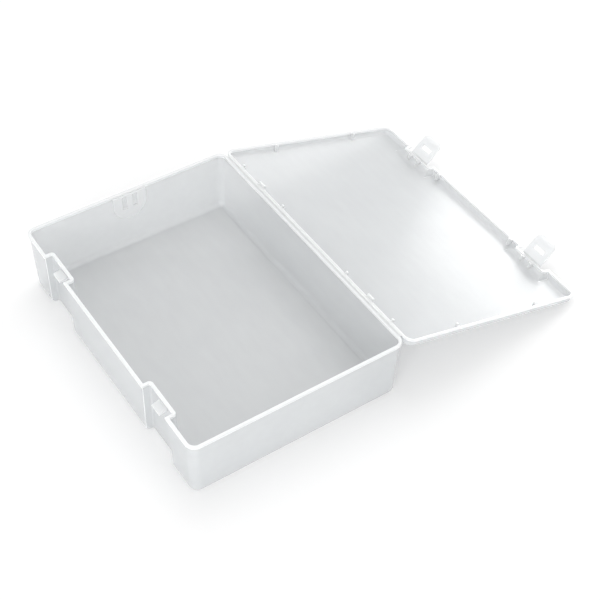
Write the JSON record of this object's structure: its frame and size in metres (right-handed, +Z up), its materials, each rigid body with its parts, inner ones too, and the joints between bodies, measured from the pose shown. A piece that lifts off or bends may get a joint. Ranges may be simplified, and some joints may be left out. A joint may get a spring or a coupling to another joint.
{
  "type": "hinged storage case",
  "caption": "Rectangular translucent plastic case with a drafted tray, a shallow lid on a living hinge along one long side, and snap latches that drop into niches in the other.",
  "frame": {"origin": "middle of the tray's underside, on the surface the case stands on", "axes": "+X from the latch side of the tray to the hinge side, along which the open lid lies; +Y along the case's long side; +Z up, out of the tray's mouth"},
  "size_m": [0.3508, 0.241, 0.0526],
  "materials": {
    "pp_wall": "satin translucent",
    "pp_edge": "satin, milky where it is thick"
  },
  "bodies": {
    "tray": {"tray_shell": "pp_wall", "tray_rim": "pp_edge", "thumb_pad": "pp_edge", "catch_lug_left": "pp_edge", "catch_lug_right": "pp_edge", "hinge_web": "pp_edge"},
    "lid": {"lid_pan": "pp_wall", "lid_rim": "pp_edge", "lid_hinge_land": "pp_edge", "lid_end_pips": "pp_edge", "lid_front_pips": "pp_edge", "lid_niche_pips": "pp_edge", "lid_hinge_ribs": "pp_edge", "lid_hinge_lugs": "pp_edge", "latch_web_left": "pp_edge", "latch_web_right": "pp_edge"},
    "latch_left": {"latch_tab_left": "pp_edge", "latch_lip_left": "pp_wall"},
    "latch_right": {"latch_tab_right": "pp_edge", "latch_lip_right": "pp_wall"}
  },
  "joints": [
    {"name": "lid_hinge", "type": "hinge", "parent": "tray", "child": "lid", "pos_m": [0.0865, 0, 0.05215], "axis": [0, -1, 0], "range_deg": [0, 195.52]},
    {"name": "latch_left_hinge", "type": "hinge", "parent": "lid", "child": "latch_left", "pos_m": [0.24914, 0.072, 0.00622], "axis": [0, -1, 0], "range_deg": [-48, 32]},
    {"name": "latch_right_hinge", "type": "hinge", "parent": "lid", "child": "latch_right", "pos_m": [0.24914, -0.072, 0.00622], "axis": [0, -1, 0], "range_deg": [-48, 32]}
  ]
}
